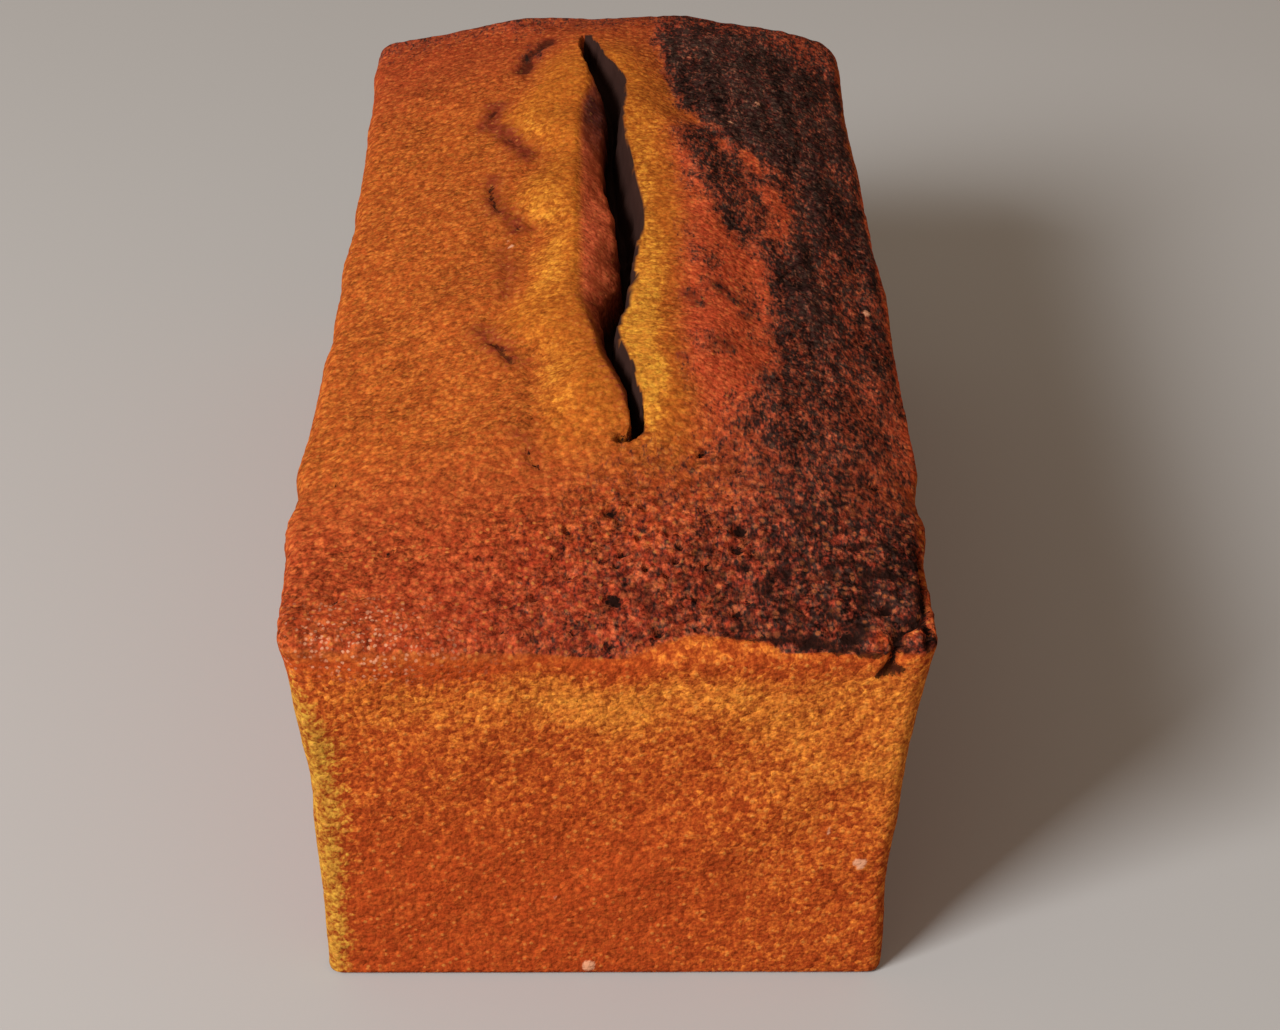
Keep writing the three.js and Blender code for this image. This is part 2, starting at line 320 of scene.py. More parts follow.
# Box of quads with shared edges: whole-number places on its faces, quads facing out, and the rim of its base.
def boxSkin(columns, rows, up):
    def code(i, j, k):
        return (i * (rows + 1) + j) * (up + 1) + k

    def sheet(p, q, place):
        i, j = (n.ravel() for n in np.meshgrid(np.arange(p), np.arange(q), indexing="ij"))
        return np.stack([place(i, j), place(i + 1, j), place(i + 1, j + 1), place(i, j + 1)], axis=1)

    quads = np.concatenate([
        sheet(columns, rows, lambda i, j: code(i, j, up)),
        sheet(columns, up, lambda i, k: code(i, 0, k)),
        sheet(columns, up, lambda i, k: code(i, rows, k))[:, ::-1],
        sheet(rows, up, lambda j, k: code(columns, j, k)),
        sheet(rows, up, lambda j, k: code(0, j, k))[:, ::-1],
    ])
    codes, quads = np.unique(quads, return_inverse=True)
    i, j = np.arange(columns), np.arange(rows)
    loop = np.concatenate(
        [code(0, j, 0), code(i, rows, 0), code(columns, rows - j, 0), code(columns - i, 0, 0)])
    lines, level = np.divmod(codes, up + 1)
    places = np.stack([*np.divmod(lines, rows + 1), level], axis=1)
    return places, quads.reshape(-1, 4), np.searchsorted(codes, loop)


# Normals at the vertices: the sum of the crossed diagonals of the quads round each one.
def vertexNormals(points, quads):
    corners = points[quads]
    facing = np.repeat(np.cross(corners[:, 2] - corners[:, 0], corners[:, 3] - corners[:, 1]), 4, axis=0)
    total = np.stack([np.bincount(quads.ravel(), part, len(points)) for part in facing.T], axis=1)
    return total / np.linalg.norm(total, axis=1, keepdims=True)


places, quads, baseLoop = boxSkin(*form["cells"])
a, b, c = (2 * places / np.array(form["cells"]) - 1).T
b = b + form["nearCrowding"] * (b * b - 1)                   # rows crowd towards the low end
onCrust = c == 1
rise = (1 + mix(c, np.sin(np.pi / 2 * c), form["rowCrowding"])) / 2     # and a little to foot and rim
smooth = np.where(onCrust[:, None], crustPoints(a, b), wallPoints(a, b, rise))
formLow, formHigh = smooth.min(axis=0), smooth.max(axis=0)
low, high = (np.array(corner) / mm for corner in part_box("loaf"))
fit = (high - low) / (formHigh - formLow)
smooth = low + (smooth - formLow) * fit
print("smooth loaf:", len(smooth), "points, fitted to the frame by", np.round(fit, 4))

# How the crust baked. Places on it are (x, y) from the middle of the loaf, and masks run from 0 to 1.
# A zone or an end is where a ramp starts and how much further on it is full. A wander is (height, size).
bake = dict(
    # Where the crust's colour stops, over the edge and down the walls.
    spill=1.2, spillWander=(1.1, 8), spillBlend=(2.2, 1),
    nearSpill=[(-36, 2.5), (-18, 1.2), (-1, 0.4), (5, -1.4), (11, -2.7), (17, -2), (26, 0.3), (33, 1.8)],
    nearSpillZone=(82, 4), nearSpillWander=(0.5, 4), sharpZone=(0, 10),
    softZone=(-4, 20), softSpill=1.2, softBlend=2.5,  # the low end's edge, soft on the left
    crackBlend=(1.5, 0.5),  # at the lip and at the slit
    # Pale crumb inside the tear, left and right of the slit.
    paleWander=2, paleSizes=(6, 5), leftPale=(0, 6), rightPale=(3.5, 8),
    # Redder crust at the low end, most along its edge, and towards the high end.
    nearZone=(46, 26), nearEdge=(66, 14), nearEdgeMiddle=(-8, 22),
    nearEmber=(0.75, 0.3), farZone=(40, 46), farLean=0.2, farEmber=0.8,
    # Rags that break up scorched edges, drawn out along the loaf.
    ragHeights=(2.2, 1.54), ragSizes=(6, 1.8), ragShrink=(0.5, 0.25),
    # Scorched right side, lighter at the high end, with painted light towards the rim where the crust slopes
    # away from the lamp.
    scorchEdge=[(-60, 15.5), (-48, 16.2), (-39, 20.5), (-33, 24.2), (-24, 22), (-4, 22.8), (4, 26.5),
                   (12, 28), (25, 27.2), (31, 24), (37, 17.5), (45, 11.5), (56, 9), (80, 8)],
    scorchBlend=[(-58, 20), (-36, 6), (0, 4.5)],
    rightScorch=[(-60, 0.74), (-30, 0.82), (20, 0.95)], rightStreaks=0.1,
    rimZone=(27, 9), rimPaintedLight=(0.1, 0.24), rimPaintedLightZone=(20, 25),
    endZone=(72, 16), endLighter=0.35, endRags=1.6,
    # Brown ground between that edge and the black.
    islandEdge=[(-8, 24), (0, 20), (8, 14.6), (24, 11), (31, 9.4), (40, 13)], islandBlend=6,
    islandSpan=(-12, 46), islandOpening=8, islandRags=0.7, islandScorch=0.72, islandStreaks=0.2,
    # Scorch across the coarse crust and in a band along the high end.
    nearScorch=(-13, 34), nearRags=2, nearEdgeScorch=0.25, nearStrength=0.8,
    farBand=(74, 14), farScorch=0.45,
    # Redder ground right of the gold, browned in blotches.
    redZone=(8.5, 4), redEnd=(-46, 20),
    browned=0.36, blotchSize=5, blotchShrink=0.6, blotchRamp=(-0.25, 0.7),
    # Smudges: (x, y, size).
    smudges=[(11.4, -19.8, 1.6), (13.2, -22.4, 1.3), (16, -16.5, 2), (18.2, -18.8, 1.5),
                (19.5, -23.2, 1.3), (16.2, -33.2, 1.6), (10.4, -37.9, 1.3), (21.5, -35.8, 1.4),
                (17.5, -49.8, 1.6), (-11.9, 71.5, 2.2), (-13.4, 65.5, 2.2), (-12.6, 68.5, 2)],
    smudgeStrength=0.6, smudgeRags=0.25, smudgeScorch=0.7, smudgeStain=1.2,
    # Bare of scorch: the rim's edge, spots at one corner, light patches in the black.
    rimStrip=2.4, rimStripWander=(0.7, 3), rimStripBlend=1.2, rimStripZone=(30, 6),
    rimStripBare=0.75, rimStripEnds=2.5,
    bareSpots=[(37.6, -86.2, 1.3), (34, -87, 1.3)],
    lightPatches=[[(12.8, 43), (13.8, 39.5)], [(18.2, 33), (18.8, 31)], [(22.3, 30.5), (24.2, 26.5)],
                     [(25.2, 19), (26.4, 12), (25.4, 4.4)]],
    lightHalves=(1.2, 1, 1.3, 1.7), lightRags=0.5, lightBlend=1.6, lightBare=0.6,
    streaks=(2.2, 16),  # sizes across and along
)

x, y, z = smooth.T
flat = smooth[:, :2]
drop = np.where(onCrust, 0, (1 - rise) * domeHeight(a * halfWidth, b * halfLength))
inset = np.where(onCrust, np.minimum(sideReach(a, y) - np.abs(x), halfLength - np.abs(y)), 0)
middle, slitHalf, leftWidth = slitLines(y)
side = x - middle
insideLeft = x - valueAt(tear["leftEdge"], y)


# Noise with that height and size, given as one pair.
def wandering(heightAndSize, seed, kind=roughness):
    height, size = heightAndSize
    return height * kind(smooth, size, seed)


# Round soft spots: a bell of the distance from each place, added up.
def spots(spotList):
    return sum(np.exp(-((x - px) ** 2 + (y - py) ** 2) / size ** 2) for px, py, size in spotList)


softEdge = ramp(-x, *bake["softZone"]) * (y < 0)
nearSpill = ramp(-y, *bake["nearSpillZone"])
spill = bake["spill"] + wandering(bake["spillWander"], 21) + bake["softSpill"] * softEdge
spill = mix(spill, valueAt(bake["nearSpill"], x) + wandering(bake["nearSpillWander"], 22), nearSpill)
spillBlend = mix(*bake["spillBlend"], nearSpill * ramp(x, *bake["sharpZone"])) + bake["softBlend"] * softEdge
crust = across(spill - np.where(onCrust, -inset, drop), spillBlend)
near = ramp(-y, *bake["nearZone"]) * crust
nearEdge = ramp(-y, *bake["nearEdge"]) * bell(x, *bake["nearEdgeMiddle"])
gape = along(tear["crackSpan"], y, tear["opening"]) * onCrust
torn = along(tear["span"], y, tear["opening"]) * onCrust
lipBlend, slitBlend = bake["crackBlend"]
inCrack = gape * ease((leftWidth + side) / lipBlend) * ease((slitHalf - side) / slitBlend)
crackWall = inCrack * (side < 0)

# Pale crumb: all of the left side of the tear, and on the right a strip beyond the crack that fades out.
leftRough, rightRough = (roughness(smooth, size, 31 + n) for n, size in enumerate(bake["paleSizes"]))
leftPale = ramp(insideLeft + bake["paleWander"] * leftRough, *bake["leftPale"])
rightPale = 1 - ramp(side + bake["paleWander"] * rightRough, *bake["rightPale"])
pale = torn * np.where(side < 0, leftPale, rightPale)

# Scorch: the right side beyond a ragged edge, an island inside it, smudges, and the crust at both ends.
acrossStreak, alongStreak = bake["streaks"]
streaks = noise(smooth / (acrossStreak, alongStreak, acrossStreak), 1.0, 71)
broadRags = roughness(smooth * (1, bake["ragShrink"][0], 1), bake["ragSizes"][0], 41)
fineRags = noise(smooth * (1, bake["ragShrink"][1], 1), bake["ragSizes"][1], 44)
rags = bake["ragHeights"][0] * broadRags + bake["ragHeights"][1] * fineRags
right = across(x + rags - valueAt(bake["scorchEdge"], y), valueAt(bake["scorchBlend"], y))
# Painted light: less scorch towards the right rim, most at the low end, where the crust slopes away from the
# lamp.
rimPaintedLight = mix(*bake["rimPaintedLight"], ramp(-y, *bake["rimPaintedLightZone"])) * ramp(x, *bake["rimZone"])
rightScorch = right * (valueAt(bake["rightScorch"], y) + bake["rightStreaks"] * streaks - rimPaintedLight)
rightScorch *= 1 - bake["endLighter"] * ramp(y + bake["endRags"] * rags, *bake["endZone"])
island = across(x + bake["islandRags"] * rags - valueAt(bake["islandEdge"], y), bake["islandBlend"])
island *= along(bake["islandSpan"], y, bake["islandOpening"])
island *= bake["islandScorch"] + bake["islandStreaks"] * streaks
nearFrom, nearTo = bake["nearScorch"]
nearShare = (x + bake["nearRags"] * rags - nearFrom) / (nearTo - nearFrom)
nearScorch = near * np.clip(nearShare + bake["nearEdgeScorch"] * nearEdge, 0, 1)
farScorch = bake["farScorch"] * ramp(y + rags, *bake["farBand"])
redGround = torn * ramp(x, *bake["redZone"]) * ramp(-y, *bake["redEnd"])
blotches = roughness(smooth * (1, bake["blotchShrink"], 1), bake["blotchSize"], 47)
browned = bake["browned"] * ramp(blotches, *bake["blotchRamp"]) * redGround
smudge = bake["smudgeStrength"] * spots(bake["smudges"]) * (1 + bake["smudgeRags"] * rags)
scorch = crust * np.maximum.reduce([
    rightScorch, island, bake["nearStrength"] * nearScorch, farScorch, bake["smudgeScorch"] * smudge, browned,
])
rimStrip = bake["rimStrip"] - inset + wandering(bake["rimStripWander"], 45, noise)
rimStrip = ease(rimStrip / bake["rimStripBlend"]) * ramp(x, *bake["rimStripZone"])
rimStrip *= np.abs(y) < halfLength - bake["rimStripEnds"]
bare = spots(bake["bareSpots"])
for line, half in zip(bake["lightPatches"], bake["lightHalves"]):
    inside = half + bake["lightRags"] * rags - lineDistance(flat, line)
    bare += bake["lightBare"] * across(inside, bake["lightBlend"])
bare = np.clip(bare + bake["rimStripBare"] * rimStrip, 0, 1)
scorch *= 1 - bare
nearEmber, edgeEmber = bake["nearEmber"]
farEmber = bake["farEmber"] * ramp(y - bake["farLean"] * x, *bake["farZone"])
ember = np.maximum((nearEmber + edgeEmber * nearEdge) * near, farEmber) * crust
scorched = (scorch > 0.5).sum() / onCrust.sum()
print("crust baked: scorch over", round(100 * scorched), "% of the crust's points")

# Fine relief, heights and sizes in millimetres. A wobble is (height, size).
relief = dict(
    lumps=(0.35, 14), rimLumps=(0.45, 7), rimReach=6,
    smoothCrust=0.13, coarseCrust=0.36, scorchedCrust=0.38, crustGrain=2.2,
    cobble=1.8, cobbleLevel=0.6, crumbFlatter=0.7,
    wallGrain=(0.09, 1.7), wallCobble=0.35, crumbGrain=(0.10, 3), crackRags=(0.5, 3.2),
    streakHeight=0.16, footFlat=2,
    # Pits: strewn over the coarse crust, fewer on the left, and the large ones as (x, y, radius).
    pitSpacing=3.2, pitRadii=(0.35, 0.8), pitShare=0.6, fewPits=0.35, pitZone=(-20, 45),
    pitDepth=0.9, pitWobble=(0.5, 1.3), pitMark=0.75,
    pits=[(0.5, -81.2, 1.15), (17.1, -69.8, 1.3), (16.5, -72.9, 1), (0.6, -67, 0.95), (1.7, -68.4, 0.5),
             (12.7, -66.6, 0.8), (12.6, -76, 0.85), (0.1, -87, 0.7), (6.4, -85.4, 0.7), (16.3, -82.8, 0.8),
             (17.5, -80.6, 0.7), (9.1, -73.4, 0.55), (8.6, -75.5, 0.55), (5, -76.2, 0.55), (7, -77.2, 0.5),
             (-4.9, -77.4, 0.5), (-9.5, -80.2, 0.65), (-6.6, -73.8, 0.45), (-13.5, -85.2, 0.6),
             (-4.3, -85.7, 0.5), (12.5, -56.5, 0.6), (15, -57, 0.6), (17.1, -59.1, 0.7), (35.5, -57.7, 0.9),
             (-35.8, -55.8, 0.7), (-34.1, -80.5, 0.8), (29.6, -86.6, 1.6), (34.5, -81.5, 1.1)],
    # Crevices in the left crust, with painted shade in them and painted shadow of the torn crust round them.
    # Thin ones break off here and there.
    crevices=[
        [(-10.3, 74), (-13.2, 66.6), (-14.1, 60.7)],
        [(-18.2, 48), (-19.4, 41.5), (-17.4, 39.7), (-16, 35.8), (-12.7, 27.3)],
        [(-18, 21), (-17.6, 13.6), (-16.4, 9.5), (-13.2, 4)],
        [(-15.6, -1.5), (-14.6, -9.2), (-14.2, -16.3)],
        [(-17.9, -25), (-15, -31.9), (-13.1, -35.2)],
        [(-11.6, -52.2), (-9.7, -57.7), (-8.9, -58.8)],
    ],
    creviceHalves=(1.2, 0.5, 0.5, 0.5, 0.5, 0.5), thinCrevice=1, creviceDepth=0.6,
    creviceDark=(0.6, 0.7, 0.85, 0, 0.7, 1), creviceShadow=(1.2, 1, 0.7, 0.5, 0.7, 0.4),
    creviceWobble=(0.9, 3), breakSize=3, breakRamp=(-0.42, 0.7), breakThinning=1.8,
    creviceShadowReach=2,
    lipSpan=(-54, 4), lipOpening=10, lipReach=3, lipStain=0.8,  # along the slit's left edge
    # Hook at the slit's near end, and the slit's painted shade, a little wider and longer than the slit.
    hook=[(3.9, -50), (4.1, -52), (3.9, -53.6), (3, -54.5), (1.6, -55)],
    hookHalf=0.7, hookDepth=2.5, hookWobble=0.3,
    slitSharpness=2.5, slitWider=1.08, slitLonger=1.2,
    # Crease at one corner and a line along the low end's edge, grooves with painted shade in them, and a spot
    # of painted shade where the crease stops: (x, y, z).
    creases=[
        [(40.6, -69.4, 57.4), (40.6, -72.5, 57.2), (40, -80.5, 57.7), (39.7, -83.7, 57.7),
         (39.6, -87.2, 56.4)],
        [(39.2, -83.6, 57.7), (38.1, -84.3, 57.6), (36.1, -85.3, 57.5), (35.7, -86.3, 57.3),
         (35.7, -88, 56.4), (35.3, -88.3, 55.1), (35, -88.2, 53.3), (34.9, -88.1, 52.6)],
    ],
    creaseHalf=0.8, creaseDepth=1.2, creaseMark=0.75, creaseWobble=(0.35, 1.5),
    creaseEnd=[(34, -88, 52.2), (36.2, -88.1, 52.7)],
    creaseEndHalf=0.8, creaseEndDark=0.9, creaseEndWobble=(0.6, 1.2),
    edgeLine=[(10, -86.8, 56.3), (14, -86.2, 56.7), (22.5, -86.8, 56.5), (27.3, -87.5, 56),
                 (33.5, -88.3, 55)],
    edgeLineHalf=0.7, edgeLineDepth=0.45, edgeLineDark=0.85, edgeLineZone=(8, 14),
    edgeLineWobble=(0.4, 1.5),
    # Pale grains along the low end's left edge.
    grainSpacing=1.4, grainHeight=0.3, grainRadius=0.4, grainShare=0.6, grainPale=0.6,
    grainBand=(-31, 11), grainZone=(78, 7), grainEnd=(-6.5, 3),
    # Loose crumbs on the low end as (x, y, z, radius), and raised flakes on the crust with painted highlights
    # as (x, y, radius).
    wallFlecks=[(33.2, -86.2, 20, 0.9), (28.8, -86.3, 25.6, 0.6), (-7, -86, 13.9, 0.5),
                   (13.4, -87.5, 43.1, 0.5), (-2.6, -86, 1.8, 1)],
    crustGlintFlakes=[(24.9, 50.4, 0.5), (19.9, 41.4, 0.45), (38, -10.6, 0.5), (-15.3, 0.8, 0.4),
                    (-14.5, -0.9, 0.35)],
    fleckHeight=0.35, fleckWobble=(0.2, 0.9), fleckBack=3, fleckShrink=0.5,
)

# Sharp dark marks, painted shade in the pits, crevices, hook and creases and along the low end's edge:
# a field that is a half on the edge of each mark and falls by a half per millimetre, and the shade of the
# mark that lies nearest.
markField = np.zeros(len(smooth))
markShade = np.zeros(len(smooth))


def addMark(gap, half, shade):
    own = np.clip(0.5 + (half - gap) / 2, 0, 1)
    markShade[:] = np.where(own > markField, shade, markShade)
    markField[:] = np.maximum(markField, own)


# Pits with painted shade in them: spots strewn in a lattice, each with its own radius, then the large ones.
pitRags, pitRagSize = relief["pitWobble"]
ragged = pitRags * np.stack([noise(smooth, pitRagSize, 46 + n) for n in range(3)], axis=1)
spotDistance, spotNumber = scatter(smooth + ragged, relief["pitSpacing"], 51)
pitRadius = mix(*relief["pitRadii"], (7 * spotNumber) % 1)           # a second number drawn from the first
isPit = spotNumber < relief["pitShare"] * mix(relief["fewPits"], 1, ramp(x, *relief["pitZone"]))
pit = plateau(spotDistance, pitRadius) * isPit * near
addMark(np.where(isPit, spotDistance, np.inf), relief["pitMark"] * pitRadius, near)
for px, py, radius in relief["pits"]:
    away = np.hypot(*(flat + ragged[:, :2] - (px, py)).T)
    pit = np.maximum(pit, plateau(away, radius) * onCrust)
    addMark(away, relief["pitMark"] * radius, crust)

# Crevices with painted shade in them and painted shadow round them, the stained lip, and the hook with
# painted shade in it.
wobbleHeight, wobbleSize = relief["creviceWobble"]
wobble = np.stack([roughness(smooth, wobbleSize, 53 + n) for n in range(2)], axis=1)
breaks = ramp(noise(smooth, relief["breakSize"], 56), *relief["breakRamp"])
crevice = stainAndShadow = 0
for line, half, darkShare, stainShare in zip(
        relief["crevices"], relief["creviceHalves"], relief["creviceDark"], relief["creviceShadow"]):
    gap = lineDistance(flat + wobbleHeight * wobble, line)
    whole = np.maximum(breaks, half > relief["thinCrevice"])
    crevice = np.maximum(crevice, bell(gap, 0, half) * onCrust * whole)
    addMark(gap, half * (1 - relief["breakThinning"] * (1 - whole)), darkShare * onCrust)
    stainAndShadow = np.maximum(stainAndShadow, stainShare * bell(gap, 0, relief["creviceShadowReach"]) * onCrust)
lipStain = relief["lipStain"] * along(relief["lipSpan"], y, relief["lipOpening"])
lipStain *= bell(side, -slitHalf, relief["lipReach"]) * (side < 0)
stainAndShadow = np.maximum.reduce([stainAndShadow, lipStain * onCrust, bake["smudgeStain"] * smudge])
hookGap = lineDistance(flat + relief["hookWobble"] * wobble, relief["hook"])
hook = plateau(hookGap, relief["hookHalf"]) * onCrust
addMark(hookGap, relief["hookHalf"], onCrust)
# Painted shade in the slit, a little wider and longer than the slit.
wider = side / relief["slitWider"]
slitShade = ease(relief["slitSharpness"] * slitShare(wider, slitHalf, y, relief["slitLonger"])) * onCrust


# Distance to a line in space, from points pushed about by noise.
def wobblyGap(line, wobbleName, seed):
    return lineDistance(smooth + wandering(relief[wobbleName], seed, noise)[:, None], line)


# Painted shade in the creases, in a spot where the crease stops, and in the groove along the low end's edge.
crease = 0
for line in relief["creases"]:
    gap = wobblyGap(line, "creaseWobble", 55)
    crease = np.maximum(crease, np.exp(-(gap / relief["creaseHalf"]) ** 3))
    addMark(gap, relief["creaseMark"] * relief["creaseHalf"], 1.0)
endGap = wobblyGap(relief["creaseEnd"], "creaseEndWobble", 58)
addMark(endGap, relief["creaseEndHalf"], relief["creaseEndDark"])
edgeGap = wobblyGap(relief["edgeLine"], "edgeLineWobble", 57)
edgeThere = ramp(x, *relief["edgeLineZone"])
edgeLine = bell(edgeGap, 0, relief["edgeLineHalf"]) * edgeThere
addMark(edgeGap, relief["edgeLineHalf"] * edgeThere, relief["edgeLineDark"])

# Grains along one edge, loose crumbs stuck to the low end, and raised flakes on the crust with painted
# highlights.
grainDistance, grainNumber = scatter(smooth, relief["grainSpacing"], 61)
grainZone = ramp(-y, *relief["grainZone"]) * bell(x, *relief["grainBand"]) * ramp(-drop, *relief["grainEnd"])
grain = grainZone * bell(grainDistance, 0, relief["grainRadius"]) * (grainNumber < relief["grainShare"])
grain = relief["grainPale"] * grain
fleckAndGlint = 0
for px, py, pz, radius in relief["wallFlecks"]:
    away = np.hypot(x - px, z - pz) + wandering(relief["fleckWobble"], 62, noise)
    fleckAndGlint = np.maximum(fleckAndGlint, plateau(away, radius) * (y < py + relief["fleckBack"]))
for px, py, radius in relief["crustGlintFlakes"]:
    away = np.hypot(x - px, relief["fleckShrink"] * (y - py))
    fleckAndGlint = np.maximum(fleckAndGlint, plateau(away, radius) * onCrust)

# Height to add along the normal at each point.
onWall = 1 - crust
crustHeight = mix(relief["smoothCrust"], relief["coarseCrust"], near)
crustHeight = np.maximum(crustHeight, relief["scorchedCrust"] * scorch) * (1 - relief["crumbFlatter"] * pale)
cobble = relief["cobbleLevel"] - scatter(smooth, relief["cobble"], 78)[0] / relief["cobble"]
height = wandering(relief["lumps"], 72)
height += wandering(relief["rimLumps"], 73, noise) * np.exp(-(inset + drop) / relief["rimReach"])
height += crust * crustHeight * (roughness(smooth, relief["crustGrain"], 74) + cobble)
wallHeight, wallSize = relief["wallGrain"]
height += onWall * wallHeight * (roughness(smooth, wallSize, 75) + relief["wallCobble"] * cobble)
height += pale * wandering(relief["crumbGrain"], 76)
height += inCrack * wandering(relief["crackRags"], 77)
height += right * onCrust * relief["streakHeight"] * streaks
height -= relief["pitDepth"] * pit + relief["creviceDepth"] * crevice + relief["creaseDepth"] * crease
height -= relief["hookDepth"] * hook + relief["edgeLineDepth"] * edgeLine
height += relief["grainHeight"] * grain + relief["fleckHeight"] * fleckAndGlint
normals = vertexNormals(smooth, quads)
standing = ease(z / relief["footFlat"])                      # the foot stays flat on the ground
points = smooth + normals * (height * standing)[:, None]
print("relief from", round(height.min(), 2), "to", round(height.max(), 2), "mm")

# Where the walls and the torn crumb are golden, and how coarse each part looks.
gilt = dict(
    lowEnd=(80, 4),
    # Pale band under the low end's edge: its height rises and falls across the loaf.
    bandHeight=48, bandWave=2, bandWaveLength=22, bandWaveStart=-10, bandHalf=5,
    band=(0.58, 0.45), bandSize=4, bandShrink=0.5, bandEnds=0.25, bandMiddle=(2, 17),
    # Bare upright edge at the low end's left, paler crumb with painted light on its rounded corner: width by
    # height, and how ragged.
    edgeWidth=[(0, 2.2), (14, 2.8), (32, 4.4), (41, 4.4), (52, 2)], edgeWander=(1.2, 5),
    edgeBlend=4.5, edgeZone=(77, 6), edgeRags=(2.5, 4), edgeTop=(-54, 6), edgeGold=0.8,
    # The other upright edges, fainter at the low end.
    corners=(0.4, 0.12), cornerSides=(35.2, 2), cornerEnds=(82, 3),
    # Patches near the low end's right edge.
    patches=0.45, patchSize=6, patchRamp=(-0.5, 1.2), patchZone=(14, 18), patchHeight=(37, 13),
    # Slow warmth: up the walls, right of the low end, in clouds on the long sides, less under the edge.
    warm=0.03, warmUp=0.2, warmUpZone=(16, 30), warmRight=0.16, warmRightZone=(2, 26),
    clouds=(0.14, 22), underEdge=0.34, underEdgeDrop=(3, 2.5),
    # Golden crumb: the crack's right wall, and patches (x, y, length) of the pale crumb to its left.
    rightGold=[(-58, 0.3), (-50, 1), (-24, 0.9), (-8, 0.6), (6, 0.55), (24, 0.4), (50, 0.1)],
    rightReach=7.6, rightWander=(1.8, 7), rightBlend=3.2, rightStart=(-0.5, 1),
    crumbPatches=[(-10, 3, 14), (-8.4, -41, 9), (-13, 32, 14), (-9, -12, 10)], crumbPatchWidth=3.5,
    crumbGold=0.7, crumbMottle=(0.75, 0.5), crumbMottleSize=4, crumbStart=(-1, 2),
    # Painted shade on the crack's left wall at its far end, and in the dark valleys and pores of the coarse
    # crust.
    wallShade=0.85, wallShadeZone=(16, 28),
    valleyRamp=(-0.12, 0.25), nearValley=0.85, rightValley=0.75,
    fewPores=0.15, poreZone=(-22, 44),
    coarseWall=0.85, coarseNear=(0.75, 1), coarseZone=(-30, 40), coarseCrust=(0.6, 0.45),
)

lowEnd = ramp(-y, *gilt["lowEnd"])
bandTurn = 2 * np.pi * (x - gilt["bandWaveStart"]) / gilt["bandWaveLength"]
bandHeight = gilt["bandHeight"] + gilt["bandWave"] * np.cos(bandTurn)
bandPlain, bandMottle = gilt["band"]
bandRough = roughness(smooth * (gilt["bandShrink"], 1, 1), gilt["bandSize"], 81)
band = bell(z, bandHeight, gilt["bandHalf"]) * (bandPlain + bandMottle * bandRough)
band *= mix(gilt["bandEnds"], 1, bell(x, *gilt["bandMiddle"])) * lowEnd
flare = (z / form["rimHeights"][0]) ** form["wallFlare"]
fromEdge = x + mix(form["baseWidth"], form["rimWidth"], flare) / 2
# Paler crumb on the left upright edge of the low end, with painted light where its rounded corner faces the
# lamp.
edgeWidth = valueAt(gilt["edgeWidth"], z) + wandering(gilt["edgeWander"], 82)
edgeLeft = gilt["edgeGold"] * across(edgeWidth - fromEdge, gilt["edgeBlend"])
edgeLeft *= ramp(-y + wandering(gilt["edgeRags"], 86), *gilt["edgeZone"])
edgeLeft *= ramp(-z, *gilt["edgeTop"])
corners = mix(*gilt["corners"], lowEnd)
corners *= ramp(np.abs(x), *gilt["cornerSides"]) * ramp(np.abs(y), *gilt["cornerEnds"])
patches = ramp(roughness(smooth, gilt["patchSize"], 83), *gilt["patchRamp"])
patches *= ramp(x, *gilt["patchZone"]) * bell(z, *gilt["patchHeight"]) * lowEnd
warmth = gilt["warm"] + gilt["warmUp"] * ramp(z, *gilt["warmUpZone"])
warmth += gilt["warmRight"] * lowEnd * ramp(x, *gilt["warmRightZone"])
warmth += (1 - lowEnd) * wandering(gilt["clouds"], 87)
warmth -= gilt["underEdge"] * lowEnd * bell(drop, *gilt["underEdgeDrop"])
wallGold = np.minimum(1, np.maximum(band, corners) + gilt["patches"] * patches + warmth)
wallGold *= onWall * (1 - edgeLeft)

rightEnd = gilt["rightReach"] + wandering(gilt["rightWander"], 85)
rightGold = torn * ramp(side - slitHalf, *gilt["rightStart"]) * across(rightEnd - x, gilt["rightBlend"])
rightGold *= valueAt(gilt["rightGold"], y)
crumbGold = sum(
    bell(x, px, gilt["crumbPatchWidth"]) * bell(y, py, length) for px, py, length in gilt["crumbPatches"]
)
crumbPlain, crumbMottle = gilt["crumbMottle"]
crumbGold *= crumbPlain + crumbMottle * roughness(smooth, gilt["crumbMottleSize"], 84)
crumbGold = gilt["crumbGold"] * crumbGold * pale * ramp(-side - leftWidth, *gilt["crumbStart"])

valleyShade = np.maximum(gilt["nearValley"] * nearScorch, gilt["rightValley"] * rightScorch * near)
valleyShade *= ramp(-cobble, *gilt["valleyRamp"]) * (1 - bare)
pores = near * mix(gilt["fewPores"], 1, ramp(x, *gilt["poreZone"])) * crust
coarseNear = near * mix(*gilt["coarseNear"], ramp(x, *gilt["coarseZone"]))
coarseCrust = mix(*gilt["coarseCrust"], pale)
coarse = np.maximum.reduce([gilt["coarseWall"] * onWall, coarseNear, scorch, coarseCrust]) * (1 - slitShade)
wallShade = gilt["wallShade"] * crackWall * ramp(y, *gilt["wallShadeZone"])

masks = dict(
    crust=crust, ember=ember, redGround=redGround, pale=pale, scorch=scorch, stainAndShadow=stainAndShadow,
    gold=np.maximum.reduce([wallGold, rightGold, crumbGold]), bareLitEdge=edgeLeft * onWall,
    crackWall=crackWall, wallShade=wallShade, slitShade=slitShade, valleyShade=valleyShade, pores=pores,
    markField=markField, markShade=markShade, coarse=coarse,
    # The grain mask also carries the painted highlights on the crust's flakes.
    grainZone=grainZone, grain=np.maximum(grain, fleckAndGlint),
)


